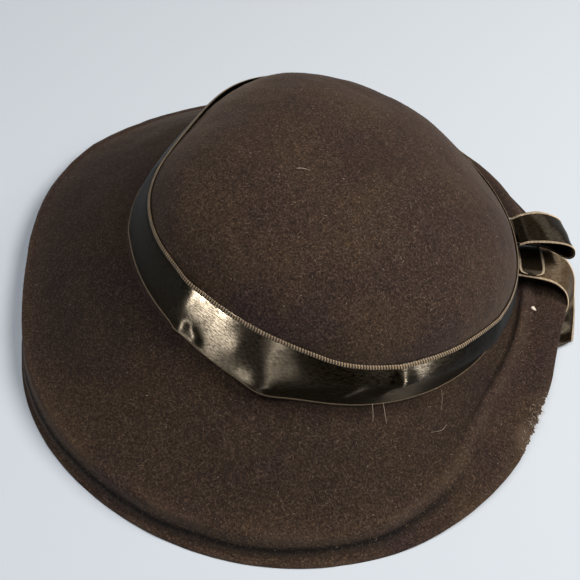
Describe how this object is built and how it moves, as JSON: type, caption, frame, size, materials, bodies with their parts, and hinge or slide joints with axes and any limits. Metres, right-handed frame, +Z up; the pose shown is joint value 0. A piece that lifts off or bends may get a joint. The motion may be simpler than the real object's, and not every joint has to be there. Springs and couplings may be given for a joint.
{
  "type": "felt cloche hat",
  "caption": "Felt cloche hat with a shallow rounded crown, a wide brim with a rolled crest and turned-up side, a satin ribbon band and a flat side bow.",
  "frame": {"origin": "on the floor under the middle of the hat's box", "axes": "+Z up, -Y the front of the hat, +X the wearer's left"},
  "size_m": [0.2632, 0.276, 0.0898],
  "materials": {
    "felt": "matt fur felt with a short nap",
    "satin": "satin ribbon with woven edges"
  },
  "bodies": {
    "root": {"felt_body": "felt", "ribbon_band": "satin", "bow_loop": "satin", "bow_knot": "satin", "bow_tail": "satin"}
  },
  "joints": []
}
